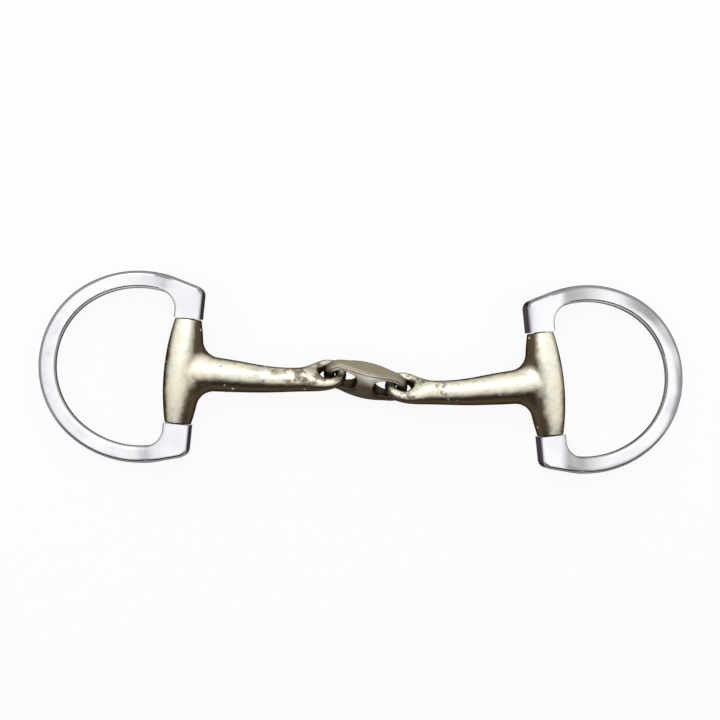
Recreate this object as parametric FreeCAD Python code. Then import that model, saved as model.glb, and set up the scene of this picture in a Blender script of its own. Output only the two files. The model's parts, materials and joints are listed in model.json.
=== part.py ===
"""Eggbutt snaffle with a lozenge centre link, lying on a table.

Seven loose pieces: two D-shaped cheek rings, two hinge pins, two mouthpiece
castings (barrel, arm and eye in one) and the centre link, which joins the two
eyes like a link of chain.

World frame, in millimetres: +X runs along the mouthpiece from the left cheek
to the right one, +Y along the barrels, and +Z straight up from the table at
z = 0.  The origin is on the table, under the middle of the whole bit.

A cheek is modelled in a cheek frame: origin at the middle of the barrel, +x
along the arm towards the link, +y along the barrel, the ring towards -x.  The
left cheek is laid down like that, the right one is its mirror image.
"""
import FreeCAD, Part
import math
import os
from FreeCAD import Placement, Rotation, Vector

# ---- cheek ring ----------------------------------------------------------
RIM_REACH = 54.3           # from the barrel axis to the outside of the rim
RIM_RADIUS = 34.8          # outer radius of the round front of the D
BACK_RADIUS = 40.0         # outer radius of its flatter top and bottom
BACK_FROM = 55.0           # degrees round from the front where that begins
RIM_WIDTH = 6.4            # the flat bar, seen from the front
RIM_THICKNESS = 4.5
RIM_EDGE = 1.6             # rounding of the bar's edges
BOSS_WIDTH = 9.8           # the square bosses that hold the hinge pin
BOSS_SLOPE = 16.0          # degrees that a boss's top falls to its corner
BOSS_CORNER = 3.4          # radius of that outer corner
THROAT_RADIUS = 6.5        # inner corner between boss and bar
TAPER_START = 4.5          # out from the barrel axis, where the boss starts
TAPER_LENGTH = 11.0        # to thin down to the bar, and how long it takes

# ---- barrel and hinge pin ------------------------------------------------
BARREL_LENGTH = 38.8
BARREL_MID_RADIUS = 7.1
BARREL_END_RADIUS = 4.9
BARREL_EDGE = 0.4          # rounding of the barrel's two ends
PIN_RADIUS = 2.25
PIN_CLEARANCE = 0.06       # radial running fit in the barrel
SEAM_GAP = 0.3             # between a boss and the end of the barrel

# ---- arm and eye ---------------------------------------------------------
ARM_REACH = 54.8           # along the arm, from barrel axis to link joint
ARM_ROOT_RADIUS = 6.6
ARM_NECK_RADIUS = 4.5
NECK_TO_JOINT = 12.0       # from the arm's thinnest place to the joint
NECK_CORNER = 60.0         # degrees up its sides where the eye's flats begin
NECK_STEPS = 7             # sections from the neck to the eye
ARM_BLEND = 6.5            # fillet between arm and barrel
CURVE_RADIUS = 125.0       # gentle bend of the arm, ending at the neck
CURVE_LENGTH = 17.0
EYE_WIRE = 4.1             # thickness of the metal round the eye
EYE_HOLE_WIDTH = 5.8
EYE_HOLE_LENGTH = 6.2
EYE_RIM = 1.8              # rounding of the hole's rims
EYE_ROLL = -45.0           # degrees that the eye is rolled about the arm
EYE_BEND = 22.0            # degrees that it is bent off the arm, in its own plane

# ---- centre link ---------------------------------------------------------
LINK_LENGTH = 32.0
LINK_WIDTH = 14.0
LINK_THICKNESS = 7.0
LINK_END_RADIUS = 6.6      # of the outline at each end
LINK_END_BAR = 4.1         # round bar left at each end, for an eye
LINK_BRIDGE = 7.2          # metal between the two holes
LINK_HOLE_WIDTH = 7.2
LINK_HOLE_CORNER = 2.7
LINK_SWELL = 30.0          # radius of its two broad, crowned faces
LINK_EDGE = 1.45           # rounding of its outline and hole rims
JOINT_CLEARANCE = 0.42     # between an eye and the end bar that it hangs on

# ---- how the loose pieces lie --------------------------------------------
BARREL_LEAN = 5.85         # degrees that each barrel's top leans inwards
LINK_TILT = -13.5          # degrees that the link slopes, seen from above
LINK_ROLL = 45.0           # degrees that the link is rolled, +Y edge up
LINK_HEIGHT = 6.9          # of its middle, above the table
EYE_SLIP = {"left": -1.3, "right": 1.1}   # how far each has slid on its bar

# ---- sizes that follow ---------------------------------------------------
BOSS_SEAT = BARREL_LENGTH / 2 + SEAM_GAP
LINK_JOINT_AT = (LINK_LENGTH - LINK_END_BAR) / 2
EYE_TIP_AT = LINK_END_BAR / 2 + JOINT_CLEARANCE   # hole's end, from the joint
EYE_RADIUS = EYE_HOLE_WIDTH / 2 + EYE_WIRE        # outside of the eye's tip
EYE_CENTRE = EYE_TIP_AT - EYE_HOLE_WIDTH / 2      # of the tip, from the joint
NECK_AT = ARM_REACH - NECK_TO_JOINT               # along the arm
EYE_AT = ARM_REACH + EYE_CENTRE
CURVE_START = NECK_AT - CURVE_LENGTH
RIM_CENTRE = Vector(RIM_REACH - RIM_RADIUS, 0, 0)

X, Y, Z = Vector(1, 0, 0), Vector(0, 1, 0), Vector(0, 0, 1)
HERE = Vector(0, 0, 0)


# ---- small helpers -------------------------------------------------------
def around(centre, radius, degrees):
    """The point of a circle in the XY plane at an angle from +X."""
    angle = math.radians(degrees)
    return centre + Vector(radius * math.cos(angle), radius * math.sin(angle), 0)


def arc(centre, radius, start, end):
    middle = around(centre, radius, (start + end) / 2)
    return Part.Arc(around(centre, radius, start), middle, around(centre, radius, end)).toShape()


def closed(edges):
    """One closed wire of edges given in any order."""
    return Part.Wire(Part.__sortEdges__(edges))


def flipped(edges, axis):
    return [edge.mirror(HERE, axis) for edge in edges]


def prism(wire, half_height):
    """A straight solid on both sides of the outline's XY plane."""
    face = Part.Face(wire)
    face.translate(Z * -half_height)
    return face.extrude(Z * 2 * half_height)


def side_prism(wire, half_width):
    """The same for an outline drawn as (x, height), stood up along Y."""
    solid = prism(wire, half_width)
    solid.rotate(HERE, X, 90)
    return solid


def middle_of(edge):
    return edge.valueAt((edge.FirstParameter + edge.LastParameter) / 2)


def edges_over(solid, wire, lowest, place=Placement()):
    """Edges that lie above or below an outline, at least lowest away from it."""
    back = place.inverse()
    found = []
    for edge in solid.Edges:
        spot = back.multVec(middle_of(edge))
        shadow = Part.Vertex(Vector(spot.x, spot.y, 0))
        if abs(spot.z) > lowest and wire.distToShape(shadow)[0] < 0.02:
            found.append(edge)
    return found


def thinning(thick, thin, start, length, first_radius):
    """Two arcs, convex then concave, from half thickness thick to thin."""
    angle = 2 * math.atan2(thick - thin, length)
    second_radius = length / math.sin(angle) - first_radius
    turn = math.degrees(angle)
    first = arc(Vector(start, thick - first_radius, 0), first_radius, 90, 90 - turn)
    second = arc(Vector(start + length, thin + second_radius, 0), second_radius, 270 - turn, 270)
    return [first, second]


# ---- cheek ring ----------------------------------------------------------
def ring_outline():
    """The D seen from the front, open where the barrel goes; x runs outwards."""
    half = BOSS_WIDTH / 2
    back_centre = around(RIM_CENTRE, RIM_RADIUS - BACK_RADIUS, BACK_FROM)
    slope_from = 90 + BOSS_SLOPE
    slope_top = around(back_centre, BACK_RADIUS, slope_from)
    slope = math.radians(BOSS_SLOPE)
    drop = (BOSS_CORNER + (slope_top.x + half - BOSS_CORNER) * math.sin(slope)) / math.cos(slope)
    corner = Vector(BOSS_CORNER - half, slope_top.y - drop, 0)

    inside = BACK_RADIUS - RIM_WIDTH
    throat_x = half + THROAT_RADIUS
    reach = inside - THROAT_RADIUS
    throat_y = back_centre.y + math.sqrt(reach ** 2 - (throat_x - back_centre.x) ** 2)
    throat = Vector(throat_x, throat_y, 0)
    meet = math.degrees(math.atan2(throat.y - back_centre.y, throat.x - back_centre.x))

    upper = [
        arc(RIM_CENTRE, RIM_RADIUS, 0, BACK_FROM),
        arc(back_centre, BACK_RADIUS, BACK_FROM, slope_from),
        Part.makeLine(slope_top, around(corner, BOSS_CORNER, slope_from)),
        arc(corner, BOSS_CORNER, slope_from, 180),
        Part.makeLine(around(corner, BOSS_CORNER, 180), Vector(-half, BOSS_SEAT, 0)),
        Part.makeLine(Vector(-half, BOSS_SEAT, 0), Vector(half, BOSS_SEAT, 0)),
        Part.makeLine(Vector(half, BOSS_SEAT, 0), around(throat, THROAT_RADIUS, 180)),
        arc(throat, THROAT_RADIUS, 180, meet),
        arc(back_centre, inside, meet, BACK_FROM),
        arc(RIM_CENTRE, RIM_RADIUS - RIM_WIDTH, BACK_FROM, 0),
    ]
    return closed(upper + flipped(upper, Y))


def ring_side():
    """The ring seen edge-on: thick at the bosses, thin along the bar."""
    boss, bar = BOSS_WIDTH / 2, RIM_THICKNESS / 2
    angle = 2 * math.atan2(boss - bar, TAPER_LENGTH)
    same_radius = TAPER_LENGTH / math.sin(angle) / 2
    end = TAPER_START + TAPER_LENGTH
    top = [
        Part.makeLine(Vector(-BOSS_WIDTH, 0, 0), Vector(-BOSS_WIDTH, boss, 0)),
        Part.makeLine(Vector(-BOSS_WIDTH, boss, 0), Vector(TAPER_START, boss, 0)),
        *thinning(boss, bar, TAPER_START, TAPER_LENGTH, same_radius),
        Part.makeLine(Vector(end, bar, 0), Vector(RIM_REACH + 1, bar, 0)),
        Part.makeLine(Vector(RIM_REACH + 1, bar, 0), Vector(RIM_REACH + 1, 0, 0)),
    ]
    return closed(top + flipped(top, Y))


def ring_body():
    """The ring before it is drilled, turned round into the cheek frame."""
    outline = ring_outline()
    body = prism(outline, BOSS_WIDTH).common(side_prism(ring_side(), RIM_REACH))
    rounded = []
    for edge in edges_over(body, outline, RIM_THICKNESS / 2 - 0.1):
        on_seam = abs(abs(middle_of(edge).y) - BOSS_SEAT) < 0.01
        if not on_seam:
            rounded.append(edge)
    body = body.makeFillet(RIM_EDGE, rounded)
    body.rotate(HERE, Z, 180)
    return body


def pin_rod():
    length = 4 * BOSS_SEAT
    return Part.makeCylinder(PIN_RADIUS, length, Y * -length / 2, Y)


def cheek_ring():
    return ring_body().cut(pin_rod())


def hinge_pin():
    """Runs through the barrel, its ends ground flush with the bosses."""
    inner = Part.makeCylinder(PIN_RADIUS, 2 * BOSS_SEAT, Y * -BOSS_SEAT, Y)
    return pin_rod().common(ring_body()).fuse(inner).removeSplitter()


# ---- mouthpiece ----------------------------------------------------------
def barrel():
    """Egg-shaped: an arc turned about the hinge axis."""
    half = BARREL_LENGTH / 2
    low, high = Vector(-BARREL_END_RADIUS, -half, 0), Vector(-BARREL_END_RADIUS, half, 0)
    side = Part.Arc(low, Vector(-BARREL_MID_RADIUS, 0, 0), high).toShape()
    profile = closed([
        side,
        Part.makeLine(high, Y * half),
        Part.makeLine(Y * half, Y * -half),
        Part.makeLine(Y * -half, low),
    ])
    return Part.Face(profile).revolve(HERE, Y, 360)


def bend(radius, length):
    """Placement at the end of an arc that turns from +x towards +y."""
    angle = length / radius
    end = Vector(radius * math.sin(angle), radius * (1 - math.cos(angle)), 0)
    return Placement(end, Rotation(Z, math.degrees(angle)))


def station(along):
    """Placement on the arm's centreline.

    Straight out of the barrel, a gentle bend up to the neck, and from there
    the eye's own bend in the plane of its flats.
    """
    def within(start, end):
        return min(max(along - start, 0), end - start)

    straight = Placement(X * min(along, CURVE_START), Rotation())
    gentle = bend(CURVE_RADIUS, within(CURVE_START, NECK_AT))
    roll = Placement(HERE, Rotation(X, EYE_ROLL))
    eye_turn = bend((EYE_AT - NECK_AT) / math.radians(EYE_BEND), within(NECK_AT, EYE_AT))
    rest = Placement(X * max(along - EYE_AT, 0), Rotation())
    return straight * gentle * roll * eye_turn * rest


def round_section(along, radius):
    wire = Part.Wire(Part.Circle(HERE, X, radius).toShape())
    wire.Placement = station(along)
    return wire


def oval_section(along, half_width, radius, corner):
    """Across the arm: two round sides, joined by a tangent arc above and below.

    The sides have the given radius and run up to corner degrees, where 90
    leaves the top and bottom flat.  Where half_width is the radius too, all
    four arcs are of one circle.
    """
    angle = math.radians(corner)
    reach = half_width - radius + radius * math.cos(angle)
    crown = radius * math.sin(angle) + reach * math.tan((math.pi / 2 - angle) / 2)

    def side(sign):
        middle = Vector(0, sign * (half_width - radius), 0)
        ends = [middle + Vector(0, sign * radius * math.cos(t), radius * math.sin(t)) for t in (-angle, angle)]
        return ends[0], Y * sign * half_width, ends[1]

    right, left = side(1), side(-1)
    edges = [Part.Arc(*right).toShape(), Part.Arc(*reversed(left)).toShape()]
    for start, end, height in ((right[2], left[2], crown), (left[0], right[0], -crown)):
        if corner < 90:
            edges.append(Part.Arc(start, Z * height, end).toShape())
        else:
            edges.append(Part.makeLine(start, end))
    wire = Part.Wire([edges[0], edges[2], edges[1], edges[3]])
    wire.Placement = station(along)
    return wire


def arm_radius(along):
    """Falls from root to neck along half a cosine wave, slowly at first."""
    share = (along / NECK_AT) ** 1.2
    fall = 0.5 - 0.5 * math.cos(math.pi * share)
    return ARM_ROOT_RADIUS + (ARM_NECK_RADIUS - ARM_ROOT_RADIUS) * fall


def arm():
    """Round rod from inside the barrel to its thinnest place, the neck."""
    stops = [NECK_AT * step / 6 for step in range(1, 7)]
    stops.insert(0, BARREL_END_RADIUS / 4)
    return Part.makeLoft([round_section(s, arm_radius(s)) for s in stops], True, False)


def flattening():
    """From the round neck to the full width of the eye."""
    def section(share):
        spread = math.sin(math.pi / 2 * share) ** 2
        along = NECK_AT + (EYE_AT - NECK_AT) * share
        wide = ARM_NECK_RADIUS + (EYE_RADIUS - ARM_NECK_RADIUS) * spread
        radius = ARM_NECK_RADIUS + (EYE_WIRE / 2 - ARM_NECK_RADIUS) * spread
        return oval_section(along, wide, radius, NECK_CORNER + (90 - NECK_CORNER) * spread)

    shares = [step / NECK_STEPS for step in range(NECK_STEPS + 1)]
    return Part.makeLoft([section(share) for share in shares], True, False)


def eye_tip():
    """Half a disc with a full round edge, in the eye's frame at the joint."""
    wire = EYE_WIRE / 2
    flat = EYE_RADIUS - wire
    profile = closed([
        Part.makeLine(Vector(0, 0, -wire), Vector(0, flat, -wire)),
        Part.Arc(Vector(0, flat, -wire), Vector(0, EYE_RADIUS, 0), Vector(0, flat, wire)).toShape(),
        Part.makeLine(Vector(0, flat, wire), Vector(0, 0, wire)),
        Part.makeLine(Vector(0, 0, wire), Vector(0, 0, -wire)),
    ])
    tip = Part.Face(profile).revolve(HERE, Z, -180)
    tip.translate(X * EYE_CENTRE)
    return tip


def eye_hole():
    """Outline of the hole through the eye, round at both ends."""
    radius = EYE_HOLE_WIDTH / 2
    front = Vector(EYE_CENTRE, 0, 0)
    back = Vector(EYE_TIP_AT - EYE_HOLE_LENGTH + radius, 0, 0)
    return closed([
        arc(front, radius, -90, 90),
        Part.makeLine(front + Y * radius, back + Y * radius),
        arc(back, radius, 90, 270),
        Part.makeLine(back - Y * radius, front - Y * radius),
    ])


def mouthpiece():
    """Barrel, arm and eye: one casting, bored for the hinge pin."""
    place = station(ARM_REACH)
    tip = eye_tip()
    tip.Placement = place * tip.Placement
    body = barrel().fuse(arm())
    root = [e for e in body.Edges if e.BoundBox.XMin > 0.5 and e.BoundBox.XMax < 2 * BARREL_MID_RADIUS]
    body = body.makeFillet(ARM_BLEND, root)
    ends = [e for e in body.Edges if abs(abs(e.CenterOfMass.y) - BARREL_LENGTH / 2) < 0.01]
    body = body.makeFillet(BARREL_EDGE, ends)
    body = body.fuse(flattening()).fuse(tip)

    outline = eye_hole()
    hole = prism(outline, 2 * EYE_RADIUS)
    hole.Placement = place * hole.Placement
    body = body.cut(hole)
    rims = edges_over(body, outline, EYE_WIRE / 2 - 0.1, place)
    body = body.makeFillet(EYE_RIM, rims)
    bore = Part.makeCylinder(PIN_RADIUS + PIN_CLEARANCE, 2 * BOSS_SEAT, Y * -BOSS_SEAT, Y)
    return body.cut(bore)


# ---- centre link ---------------------------------------------------------
def link_outline():
    """Oval of four tangent arcs."""
    half_width, end = LINK_WIDTH / 2, LINK_END_RADIUS
    centre = LINK_LENGTH / 2 - end
    side = (centre ** 2 + half_width ** 2 - end ** 2) / (2 * (half_width - end))
    low = Vector(0, half_width - side, 0)
    meet = math.degrees(math.atan2(-low.y, centre))
    ends = [arc(Vector(centre, 0, 0), end, -meet, meet)]
    sides = [arc(low, side, meet, 180 - meet)]
    return closed(ends + flipped(ends, X) + sides + flipped(sides, Y))


def link_side():
    """The link seen edge-on: crowned in the middle, flat end bars."""
    middle, bar = LINK_THICKNESS / 2, LINK_END_BAR / 2
    far = LINK_LENGTH / 2 + 1
    flat_from = LINK_JOINT_AT - bar
    quarter = [
        *thinning(middle, bar, 0, flat_from, LINK_SWELL),
        Part.makeLine(Vector(flat_from, bar, 0), Vector(far, bar, 0)),
        Part.makeLine(Vector(far, bar, 0), Vector(far, 0, 0)),
    ]
    half = quarter + flipped(quarter, Y)
    return closed(half + flipped(half, X))


def link_hole():
    """Outline of the hole towards +x: a rectangle with round corners."""
    near, far = LINK_BRIDGE / 2, LINK_LENGTH / 2 - LINK_END_BAR
    radius, half = LINK_HOLE_CORNER, LINK_HOLE_WIDTH / 2
    edges = []
    for side in (1, -1):
        first = Vector(far - radius, side * (half - radius), 0)
        second = Vector(near + radius, side * (half - radius), 0)
        edges.append(arc(first, radius, 0, side * 90))
        edges.append(arc(second, radius, side * 90, side * 180))
        edges.append(Part.makeLine(around(first, radius, side * 90), around(second, radius, side * 90)))
    for x in (near, far):
        edges.append(Part.makeLine(Vector(x, half - radius, 0), Vector(x, radius - half, 0)))
    return closed(edges)


def centre_link():
    outline = link_outline()
    body = prism(outline, LINK_THICKNESS).common(side_prism(link_side(), LINK_WIDTH))
    bar = LINK_END_BAR / 2 - 0.1
    body = body.makeFillet(LINK_EDGE, edges_over(body, outline, bar))
    for turn in (0, 180):
        hole = link_hole()
        hole.rotate(HERE, Z, turn)
        body = body.cut(prism(hole, LINK_THICKNESS))
        body = body.makeFillet(LINK_EDGE, edges_over(body, hole, bar))
    return body


# ---- laying the pieces down ----------------------------------------------
def link_place():
    lie = Rotation(Z, LINK_TILT) * Rotation(X, LINK_ROLL)
    return Placement(Z * LINK_HEIGHT, lie)


def cheek_place(side):
    """Where a cheek frame lies so that its eye hangs on the link's end bar.

    The right cheek is a mirror image, so its frame's x axis points outwards.
    The arm pitches a little, so that the barrel rests on the table.
    """
    sign = 1 if side == "left" else -1
    link = link_place()
    bar = link.multVec(X * -sign * LINK_JOINT_AT)
    seat = bar + link.Rotation.multVec(Y * EYE_SLIP[side])
    eye = station(ARM_REACH).Base
    rise = math.asin((BARREL_MID_RADIUS - seat.z) / math.hypot(eye.x, eye.z))
    pitch = math.degrees(rise + math.atan2(eye.z, eye.x))
    lie = Rotation(Z, -sign * BARREL_LEAN) * Rotation(Y, sign * pitch)
    eye.x *= sign
    return Placement(seat - lie.multVec(eye), lie), pitch


def ring_droop(pitch):
    """Degrees that a ring has swung down, until its rim meets the table."""
    drop = BARREL_MID_RADIUS - RIM_THICKNESS / 2
    return math.degrees(math.asin(drop / (RIM_REACH - RIM_EDGE))) + pitch


def build():
    parts = {"centre_link": centre_link()}
    parts["centre_link"].Placement = link_place()
    pieces = {"cheek_ring": cheek_ring(), "hinge_pin": hinge_pin(), "mouthpiece": mouthpiece()}
    for side in ("left", "right"):
        place, pitch = cheek_place(side)
        sign = 1 if side == "left" else -1
        droop = Placement(HERE, Rotation(Y, -sign * ring_droop(pitch)))
        for name, piece in pieces.items():
            copy = piece.copy() if side == "left" else piece.mirror(HERE, X)
            swung = place if name == "mouthpiece" else place * droop
            parts[f"{name}_{side}"] = copy
            parts[f"{name}_{side}"].Placement = swung * copy.Placement
    return parts


def centre(parts):
    """Move everything so that the origin is under the middle of the bit."""
    box = FreeCAD.BoundBox()
    for shape in parts.values():
        box.add(shape.optimalBoundingBox(False, False))
    shift = Vector(-box.Center.x, -box.Center.y, -box.ZMin)
    for shape in parts.values():
        shape.translate(shift)
    return shift


def report_joints(shift):
    """Print where each joint's axis runs, in the world frame."""
    link = link_place()
    for side, sign in (("left", 1), ("right", -1)):
        bar = link.multVec(X * -sign * LINK_JOINT_AT) + shift
        place, pitch = cheek_place(side)
        print(f"arm_{side}", tuple(bar), tuple(link.Rotation.multVec(Y)))
        print(f"ring_{side}", tuple(place.Base + shift), tuple(place.Rotation.multVec(Y)))


def main():
    parts = build()
    shift = centre(parts)
    os.makedirs("parts", exist_ok=True)
    for name, shape in parts.items():
        shape.exportStep(f"parts/{name}.step")
        print(f"{name}: {shape.isValid()}, {len(shape.Solids)} solid, {shape.Volume:.1f} mm3")
    report_joints(shift)


main()
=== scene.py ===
"""Looks of an eggbutt snaffle: polished rings, a warm cast mouthpiece and its link."""
import json
import math

import bpy
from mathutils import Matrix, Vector

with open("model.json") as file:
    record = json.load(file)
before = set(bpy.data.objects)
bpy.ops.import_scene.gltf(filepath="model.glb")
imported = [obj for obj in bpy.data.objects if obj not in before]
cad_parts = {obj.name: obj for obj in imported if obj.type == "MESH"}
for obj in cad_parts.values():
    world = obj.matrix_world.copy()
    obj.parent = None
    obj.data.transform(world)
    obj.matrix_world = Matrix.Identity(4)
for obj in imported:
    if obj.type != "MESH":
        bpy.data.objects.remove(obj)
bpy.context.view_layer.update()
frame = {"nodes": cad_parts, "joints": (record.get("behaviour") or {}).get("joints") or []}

MM = 0.001

UP = (0.0, 0.0, 1.0)
OUTWARDS = {"left": -1, "right": 1}     # along X, from the link to each ring

# In the finishes, patterns are sized in features to the metre. A pair of numbers is
# the range over which a mask goes from 0 to 1, a RAGGED value is how far a pattern
# shifts a mask's edge, and a SHARE is what a full mask counts for.

# ---- stainless steel: rings and pins --------------------------------------
STEEL_LIGHT = (0.97, 0.96, 0.98)
STEEL_SMEARED = (0.89, 0.87, 0.93)
# painted shade: the grey that the bar's edges get, where its faces turn from looking up
STEEL_EDGE_SHADE = (0.30, 0.285, 0.30)
# painted shade: the grey of faces that look away from the hinge, of the bow's outer half and of the webs
STEEL_OUTER_SHADE = (0.30, 0.285, 0.305)
STEEL_RIM = (0.12, 0.11, 0.12)      # glance colour, along the line where a face turns away
PIN_LIGHT = (0.16, 0.15, 0.13)
PIN_DARK = (0.08, 0.07, 0.06)

SMEARS = 55.0
SMEARED = (0.42, 0.66)
BLOTCHES = 26.0
BLOTCHED = (0.36, 0.54)
POLISH_WAVES = 70.0
POLISH_GRAIN = 1400.0
WIPE_MARKS = (40.0, 900.0, 40.0)
WIPE_TURN = 0.5                     # radians about Z
WIPED = (0.55, 0.75)
POLISH_ROUGHNESS = 0.09
POLISH_RELIEF = 0.3 * MM

FLAT_FACE = (0.35, 0.93)            # how squarely a face looks up, from the bar's edge to its flat
OUTER_FACE = (0.04, 0.40)           # how far it looks away from the hinge
OUTER_RAGGED = 0.3
BOW_CENTRE = 19.5 * MM              # from the hinge to the middle of a ring's bow
BOW_OUTER_HALF = (30.6 * MM, 33.0 * MM)
BOW_RAGGED = 2.0 * MM
WEB_END = (11.0 * MM, 26.0 * MM)    # beside the hinge, where the painted shade on the webs fades
# painted shade on the webs: its base, and how much the smears add
WEB_SHADE = 0.55
WEB_SMEAR = 0.6
BOSS_END = (4.5 * MM, 8.5 * MM)     # beside the hinge, where the bright bosses stop
# how much of the painted shade on the bow's outer half and the webs each ring gets
SHADED_SHARE = {"left": 0.12, "right": 0.9}

PIN_CLOUDS = 300.0
PIN_GRAIN = (2500.0, 200.0, 2500.0)
PIN_ROUGHNESS = 0.25
PIN_RELIEF = 0.02 * MM

# ---- cast alloy: mouthpiece and link ---------------------------------------
WARM_BUFFED = (0.97, 0.94, 0.79)
WARM_CLOUDY = (0.90, 0.84, 0.66)
# painted shade: the dark brown of the arms' faces that turn from the lit side
WARM_SHADE_TONE = (0.10, 0.076, 0.049)
LINK_BUFFED = (0.92, 0.88, 0.75)
LINK_CLOUDY = (0.66, 0.61, 0.50)
# painted shade: the darker brown of the link's faces that turn from its broad ones
LINK_SHADE_TONE = (0.32, 0.28, 0.205)
# dirt in the casting pits, and painted shade on the link's lower side
PIT_DIRT_AND_SHADE_BROWN = (0.055, 0.042, 0.028)
ALLOY_RIM = (0.12, 0.10, 0.07)
LIT_SIDE_OUTWARD = 0.20               # lean of the arms' lit side, which the painted shade leaves bright, against 1 upwards
LIT_SIDE_BACK = 0.45

CLOUDS = 85.0
CLOUDED = (0.38, 0.66)
CAST_GRAIN = 1500.0
GRAINY = (0.6, 0.8)
GRAIN_SHARE = 0.12
HAMMER_WAVES = 150.0
HAMMER_SQUEEZE = (1.0, 1.6, 1.6)
RIPPLES = 420.0
PITS = 260.0
PIT_EDGE = (0.08, 0.20)
PIT_FIELDS = 150.0
PITTED = (0.56, 0.64)
PIT_SHARE = 0.55
GLINTS = 190.0
GLINT_EDGE = (0.05, 0.12)
GLINT_SHARE = 0.7
CAST_ROUGHNESS = 0.24
ARM_RELIEF = 0.3 * MM
LINK_RELIEF = 0.15 * MM

LIT_FACE = (0.58, 0.97)          # how squarely a face looks the lit way; faces that look less so get painted shade
CLOUD_RAGGED = 0.30
RIPPLE_RAGGED = 0.16
EYE_GRIME_AND_SHADE = (3.4 * MM, 5.4 * MM)    # from the joint, where the eye's grime and painted shade end
EYE_SHARE = 0.9
ARM_GRIME_AND_SHADE = (10.0 * MM, 42.0 * MM)  # from the joint, where the arm's grime and painted shade fade
ARM_SHARE = 0.85
RAGS = 210.0
TORN = (0.44, 0.58)
LOW_SHADE_DEPTH = (-7.5 * MM, -0.5 * MM)  # down from the link's middle, where its painted shade sets in
LOW_RAGGED = 9.0 * MM
LOW_SHARE = 0.97

# ---- studio (metres, watts, degrees) ---------------------------------------
FLOOR_SIZE = 6.0
FLOOR_WHITE = (0.94, 0.94, 0.94)
FLOOR_LIFT = 0.90                   # share of the floor that shows as plain white
ROOM_LIGHT = 0.85                   # of the room on dull surfaces, where 1 is plain white
PLAIN_WHITE = (1, 1, 1)

SOFTBOX_PLACE = (-0.15, 0.66, 0.85)
SOFTBOX_SIZE = (0.9, 0.6)
SOFTBOX_POWER = 2.4

CARD_BLACK = (0.07, 0.06, 0.05)
CARD_HEADING = -90                  # where the card stands round the table
CARD_DISTANCE = 0.60
CARD_LOW = 0.14
CARD_HIGH = 0.70
CARD_WIDTH = 2.6

# ---- camera (millimetres, degrees) -----------------------------------------
CAMERA_DISTANCE = 450.0
CAMERA_LEAN = 3.0
CAMERA_AIM = (-2.1, 4.9, 7.0)
CAMERA_SENSOR = 36.0
VIEW_WIDTH = 270.2                  # that the frame shows at the aim


# ---- shader maths ----------------------------------------------------------
class Signal:
    """A socket of a node tree that can be added, subtracted and multiplied."""

    def __init__(self, shader, socket):
        self.shader = shader
        self.socket = socket

    def __add__(self, other):
        return self.shader.maths("ADD", self, other)

    def __radd__(self, other):
        return self.shader.maths("ADD", other, self)

    def __sub__(self, other):
        return self.shader.maths("SUBTRACT", self, other)

    def __rsub__(self, other):
        return self.shader.maths("SUBTRACT", other, self)

    def __mul__(self, other):
        return self.shader.maths("MULTIPLY", self, other)

    def __rmul__(self, other):
        return self.shader.maths("MULTIPLY", other, self)

    def __abs__(self):
        return self.shader.maths("ABSOLUTE", self)

    def over(self, other):
        """The larger of the two."""
        return self.shader.maths("MAXIMUM", self, other)

    def clamped(self):
        return self.shader.node("ShaderNodeClamp", {}, {"Value": self})


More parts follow.
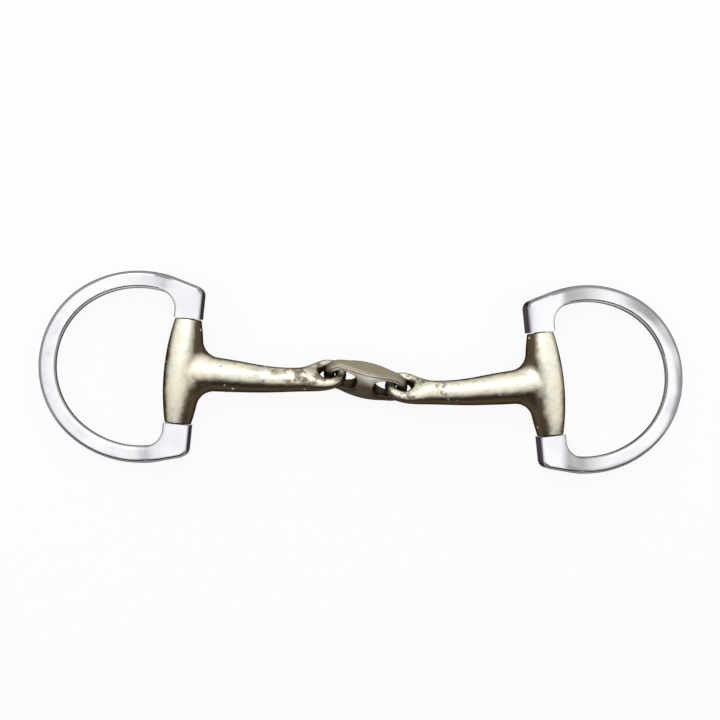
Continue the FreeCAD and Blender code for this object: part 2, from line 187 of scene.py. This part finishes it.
class Shader:
    """The nodes of one material, or of the room."""

    def __init__(self, owner):
        owner.use_nodes = True
        self.owner = owner
        self.tree = owner.node_tree
        self.tree.nodes.clear()

    def node(self, kind, settings, sockets, out=0):
        """Makes a node: its settings first, then the values or links of its
        sockets, each under the socket's name or number. Returns one output."""
        made = self.tree.nodes.new(kind)
        for setting, value in settings.items():
            setattr(made, setting, value)
        for key, value in sockets.items():
            socket = made.inputs[key]
            if isinstance(value, Signal):
                self.tree.links.new(value.socket, socket)
            elif socket.type == "RGBA":
                socket.default_value = (*value, 1.0)
            else:
                socket.default_value = value
        return Signal(self, made.outputs[out]) if made.outputs else None

    def maths(self, operation, *values):
        return self.node("ShaderNodeMath", {"operation": operation}, dict(enumerate(values)))

    def vector(self, operation, *values):
        """Vector maths that gives a vector."""
        return self.node("ShaderNodeVectorMath", {"operation": operation}, dict(enumerate(values)))

    def measure(self, operation, *values):
        """Vector maths that gives one number, such as a distance."""
        return self.node("ShaderNodeVectorMath", {"operation": operation}, dict(enumerate(values)), "Value")

    def coordinates(self, kind):
        return self.node("ShaderNodeTexCoord", {}, {}, kind)

    def place(self, scale=(1.0, 1.0, 1.0), turn=0.0):
        """Object coordinates, turned about Z and scaled."""
        sockets = {"Vector": self.coordinates("Object"), "Rotation": (0, 0, turn), "Scale": scale}
        return self.node("ShaderNodeMapping", {}, sockets)

    def noise(self, where, scale, detail=3.0, rough=0.55):
        sockets = {"Vector": where, "Scale": scale, "Detail": detail, "Roughness": rough}
        return self.node("ShaderNodeTexNoise", {}, sockets)

    def spots(self, where, scale, edge):
        """1 at scattered points, and 0 past the edge round each."""
        distance = self.node("ShaderNodeTexVoronoi", {}, {"Vector": where, "Scale": scale})
        return 1.0 - self.window(distance, edge)

    def window(self, value, limits):
        """0 below the first limit, 1 above the second, smooth between."""
        low, high = limits
        settings = {"interpolation_type": "SMOOTHSTEP"}
        return self.node("ShaderNodeMapRange", settings, {"Value": value, "From Min": low, "From Max": high})

    def facing(self, direction):
        """1 on faces across a direction, front and back, and 0 on those along it."""
        return abs(self.measure("DOT_PRODUCT", self.coordinates("Normal"), direction))

    def mix(self, share, first, second):
        """Two colours mixed, with a share of the second. They are the node's sockets 6 and 7."""
        return self.node("ShaderNodeMix", {"data_type": "RGBA"}, {0: share, 6: first, 7: second}, 2)

    def metal(self, colour, roughness, height, relief, rim):
        """Finishes the material as metal, raised by a height times the relief."""
        normal = self.node("ShaderNodeBump", {}, {"Strength": 1.0, "Distance": relief, "Height": height})
        return self.finish(self.node("ShaderNodeBsdfPrincipled", {}, {
            "Base Color": colour, "Roughness": roughness, "Metallic": 1.0,
            "Specular Tint": rim, "Normal": normal}))

    def finish(self, surface, output="ShaderNodeOutputMaterial"):
        self.node(output, {}, {"Surface": surface})
        return self.owner


def material(name):
    return Shader(bpy.data.materials.new(name))


# ---- finishes --------------------------------------------------------------
def polished_stainless(side, hinge, bow):
    """Mirror polish with fine wiping marks, and painted shade: grey along the bar's edges, on faces
    that look away from the hinge, and on the outer half of the bow and the webs beside the bosses."""
    shader = material(f"polished_stainless_{side}")
    spot = shader.place()
    smear = shader.noise(spot, SMEARS)
    blotch = shader.noise(spot, BLOTCHES, detail=2.0)
    scratches = shader.noise(shader.place(WIPE_MARKS, WIPE_TURN), 1.0, detail=2.0)
    grain = shader.noise(spot, POLISH_GRAIN, detail=2.0)
    waves = shader.noise(spot, POLISH_WAVES, detail=1.0)

    from_hinge = shader.vector("SUBTRACT", spot, hinge)
    away = shader.vector("NORMALIZE", shader.vector("MULTIPLY", from_hinge, (1, 1, 0)))
    outward = shader.measure("DOT_PRODUCT", shader.coordinates("Normal"), away)
    outward = outward + (smear - 0.5) * OUTER_RAGGED
    beside = abs(shader.measure("DOT_PRODUCT", from_hinge, (1, 0, 0)))
    sweep = shader.measure("DISTANCE", spot, bow) + (smear - 0.5) * BOW_RAGGED

    # painted shade on the bow's outer half and on the webs beside the bosses, which stops at the bosses
    outer_half = shader.window(sweep, BOW_OUTER_HALF) * shader.window(blotch, BLOTCHED)
    webs = (1.0 - shader.window(beside, WEB_END)) * (WEB_SHADE + smear * WEB_SMEAR)
    dull = outer_half.over(webs) * shader.window(beside, BOSS_END)

    colour = shader.mix(shader.window(smear, SMEARED), STEEL_LIGHT, STEEL_SMEARED)
    # painted shade: grey on faces that look away from the hinge, then on the bow's outer half and the webs
    colour = shader.mix(shader.window(outward, OUTER_FACE), colour, STEEL_OUTER_SHADE)
    colour = shader.mix(dull * SHADED_SHARE[side], colour, STEEL_OUTER_SHADE)
    # painted shade: grey along the bar's edges, where its faces stop looking up
    colour = shader.mix(shader.window(shader.facing(UP), FLAT_FACE), STEEL_EDGE_SHADE, colour)
    roughness = POLISH_ROUGHNESS + smear * 0.06 + shader.window(scratches, WIPED) * 0.08
    height = waves * 0.45 + scratches * 0.05 + grain * 0.02
    return shader.metal(colour, roughness, height, POLISH_RELIEF, STEEL_RIM)


def ground_steel():
    """Dark grey pins with a fine grain that runs nearly along them, in Y."""
    shader = material("ground_steel")
    grey = shader.mix(shader.noise(shader.place(), PIN_CLOUDS), PIN_LIGHT, PIN_DARK)
    grain = shader.noise(shader.place(PIN_GRAIN), 1.0, detail=2.0)
    return shader.metal(grey, PIN_ROUGHNESS + grain * 0.15, grain, PIN_RELIEF, STEEL_RIM)


def eye_grime_and_shade(shader, spot, joint):
    """Grime and painted shade that fill the eye round a joint and run out along the arm in rags."""
    reach = shader.measure("DISTANCE", spot, joint)
    rags = shader.window(shader.noise(spot, RAGS, detail=4.0, rough=0.7), TORN)
    eye = (1.0 - shader.window(reach, EYE_GRIME_AND_SHADE)) * EYE_SHARE
    return eye.over((1.0 - shader.window(reach, ARM_GRIME_AND_SHADE)) * rags * ARM_SHARE)


def low_painted_shade(shader, spot, cloud, middle, down):
    """Painted shade on the part of a piece that lies down from its middle, with a cloudy edge."""
    depth = shader.measure("DOT_PRODUCT", shader.vector("SUBTRACT", spot, middle), down)
    return shader.window(depth + (cloud - 0.5) * LOW_RAGGED, LOW_SHADE_DEPTH) * LOW_SHARE


def casting_with_painted_shade(name, colours, across, relief, joint=None, below=None):
    """Buffed cast alloy: soft hammer waves, casting pits, and painted shade in dark brown on
    every face that turns away from the lit ones, which lie square across the given
    direction. Grime and painted shade gather round a worn joint, or painted shade below a middle, if given."""
    buffed, cloudy, shade_tone = colours
    shader = material(name)
    spot = shader.place()
    cloud = shader.noise(spot, CLOUDS, detail=4.0)
    grain = shader.noise(spot, CAST_GRAIN)
    waves = shader.noise(shader.place(HAMMER_SQUEEZE), HAMMER_WAVES, detail=2.0)
    ripple = shader.noise(spot, RIPPLES, detail=2.0)
    pitted = shader.window(shader.noise(spot, PIT_FIELDS, detail=1.0), PITTED)
    pits = shader.spots(spot, PITS, PIT_EDGE) * pitted
    glints = shader.spots(spot, GLINTS, GLINT_EDGE)

    turned = shader.facing(across) + (cloud - 0.5) * CLOUD_RAGGED + (ripple - 0.5) * RIPPLE_RAGGED
    shade = 1.0 - shader.window(turned, LIT_FACE)
    # grime and painted shade: darker in the eye round the joint and in rags along the arm
    if joint:
        shade = shade.over(eye_grime_and_shade(shader, spot, joint))
    colour = shader.mix(shader.window(cloud, CLOUDED), buffed, cloudy)
    # painted shade: dark brown on every face turned from the lit way
    colour = shader.mix(shade, colour, shade_tone)
    # painted shade: darker towards the link's lower side
    if below:
        colour = shader.mix(low_painted_shade(shader, spot, cloud, *below), colour, PIT_DIRT_AND_SHADE_BROWN)
    # painted glints: small bright specks of the buffed colour inside the painted shade
    colour = shader.mix((glints * shade * GLINT_SHARE).clamped(), colour, buffed)
    dirt = pits * PIT_SHARE + shader.window(grain, GRAINY) * GRAIN_SHARE
    colour = shader.mix(dirt.clamped(), colour, PIT_DIRT_AND_SHADE_BROWN)
    roughness = (CAST_ROUGHNESS + cloud * 0.08 + grain * 0.08 + shade * 0.10 + pits * 0.3).clamped()
    height = waves + ripple * 0.08 + grain * 0.03 - pits * 0.3
    return shader.metal(colour, roughness, height, relief, ALLOY_RIM)


# ---- pieces ----------------------------------------------------------------
def wear(node, finish):
    """Gives a piece its one finish."""
    slots = frame["nodes"][node].data.materials
    slots.clear()
    slots.append(finish)


def joint_named(name):
    [joint] = [joint for joint in frame["joints"] if joint["name"] == name]
    return joint


def joint_centre(name, node):
    """Where a joint turns, in the coordinates of one of its nodes."""
    return tuple(frame["nodes"][node].matrix_world.inverted() @ Vector(joint_named(name)["pos_m"]))


def dress_side(side, outwards):
    """The ring, whose bow lies outwards of its hinge, and the mouthpiece of one side."""
    ring, mouthpiece = f"cheek_ring_{side}", f"mouthpiece_{side}"
    hinge = joint_centre(f"swing_{side}", ring)
    bow = tuple(Vector(hinge) + Vector((outwards * BOW_CENTRE, 0, 0)))
    wear(ring, polished_stainless(side, hinge, bow))
    # the arms' lit side, which the painted shade leaves bright, leans outwards and back
    lit_way = tuple(Vector((outwards * LIT_SIDE_OUTWARD, LIT_SIDE_BACK, 1)).normalized())
    wear(mouthpiece, casting_with_painted_shade(f"warm_alloy_{side}", (WARM_BUFFED, WARM_CLOUDY, WARM_SHADE_TONE), lit_way,
                                  ARM_RELIEF, joint=joint_centre(f"fold_{side}", mouthpiece)))


def dress_link():
    """The link's broad faces look across its length and the fold axis, and painted shade
    darkens its lower side, along that axis."""
    first, last = (Vector(joint_centre(f"fold_{side}", "centre_link")) for side in OUTWARDS)
    axis = Vector(joint_named("fold_left")["axis"])
    down = -axis if axis.z > 0 else axis
    across = tuple((last - first).cross(axis).normalized())
    wear("centre_link", casting_with_painted_shade("link_alloy", (LINK_BUFFED, LINK_CLOUDY, LINK_SHADE_TONE), across,
                                     LINK_RELIEF, below=(tuple((first + last) / 2), tuple(down))))


def dress():
    pin = ground_steel()
    for side, outwards in OUTWARDS.items():
        dress_side(side, outwards)
        wear(f"hinge_pin_{side}", pin)
    dress_link()


# ---- stage -----------------------------------------------------------------
def seen_rays(shader):
    """1 for what the camera sees, directly or in metal, and 0 for stray light."""
    kinds = ("Is Camera Ray", "Is Glossy Ray", "Is Transmission Ray")
    direct, glossy, through = (shader.node("ShaderNodeLightPath", {}, {}, kind) for kind in kinds)
    return (direct + glossy + through).clamped()


def pale_floor():
    """Dull white that keeps a soft shadow, lifted towards plain white where seen."""
    shader = material("pale_floor")
    dull = shader.node("ShaderNodeBsdfDiffuse", {}, {"Color": FLOOR_WHITE})
    glow = shader.node("ShaderNodeEmission", {}, {"Color": PLAIN_WHITE, "Strength": 1.0})
    lifted = {0: seen_rays(shader) * FLOOR_LIFT, 1: dull, 2: glow}
    return shader.finish(shader.node("ShaderNodeMixShader", {}, lifted))


def sheet(name, corners, finish):
    """A flat four-cornered sheet that belongs to the stage."""
    mesh = bpy.data.meshes.new(name)
    mesh.from_pydata(corners, [], [(0, 1, 2, 3)])
    mesh.materials.append(finish)
    made = bpy.data.objects.new(name, mesh)
    bpy.context.scene.collection.objects.link(made)
    return made


def floor():
    half = FLOOR_SIZE / 2
    sheet("floor", [(-half, -half, 0), (half, -half, 0), (half, half, 0), (-half, half, 0)], pale_floor())


def dark_card():
    """A dark card across the front that gives the bright metal its darker side. The
    camera doesn't see it."""
    shader = material("dark_card")
    black = shader.finish(shader.node("ShaderNodeBsdfDiffuse", {}, {"Color": CARD_BLACK}))
    heading = math.radians(CARD_HEADING)
    away = Vector((math.cos(heading), math.sin(heading), 0))
    along = Vector((-away.y, away.x, 0)) * CARD_WIDTH / 2
    foot, top = (away * CARD_DISTANCE + Vector((0, 0, height)) for height in (CARD_LOW, CARD_HIGH))
    card = sheet("dark_card", [foot - along, foot + along, top + along, top - along], black)
    card.visible_camera = False


def softbox():
    """One wide lamp behind and above the table, aimed at its middle."""
    data = bpy.data.lights.new("softbox", "AREA")
    data.shape = "RECTANGLE"
    data.size, data.size_y = SOFTBOX_SIZE
    data.energy = SOFTBOX_POWER
    lamp = bpy.data.objects.new("softbox", data)
    lamp.location = SOFTBOX_PLACE
    lamp.rotation_euler = (-Vector(SOFTBOX_PLACE)).to_track_quat("-Z", "Y").to_euler()
    bpy.context.scene.collection.objects.link(lamp)


def white_room():
    """White to the camera and in reflections; its light on dull surfaces is set apart."""
    room = bpy.data.worlds.new("white_room")
    shader = Shader(room)
    strength = ROOM_LIGHT + seen_rays(shader) * (1.0 - ROOM_LIGHT)
    glow = shader.node("ShaderNodeBackground", {}, {"Color": PLAIN_WHITE, "Strength": strength})
    shader.finish(glow, "ShaderNodeOutputWorld")
    bpy.context.scene.world = room


def camera():
    """Looking down on the table, leaning a little to the left."""
    lean = math.radians(CAMERA_LEAN)
    away = Vector((-math.sin(lean), 0, math.cos(lean)))
    data = bpy.data.cameras.new("above")
    data.sensor_width = CAMERA_SENSOR
    data.lens = CAMERA_SENSOR * CAMERA_DISTANCE / VIEW_WIDTH
    above = bpy.data.objects.new("above", data)
    above.location = Vector(CAMERA_AIM) * MM + away * CAMERA_DISTANCE * MM
    above.rotation_euler = (0, -lean, 0)
    bpy.context.scene.collection.objects.link(above)
    bpy.context.scene.camera = above


bpy.context.scene.view_settings.view_transform = "Standard"
dress()
white_room()
floor()
dark_card()
softbox()
camera()
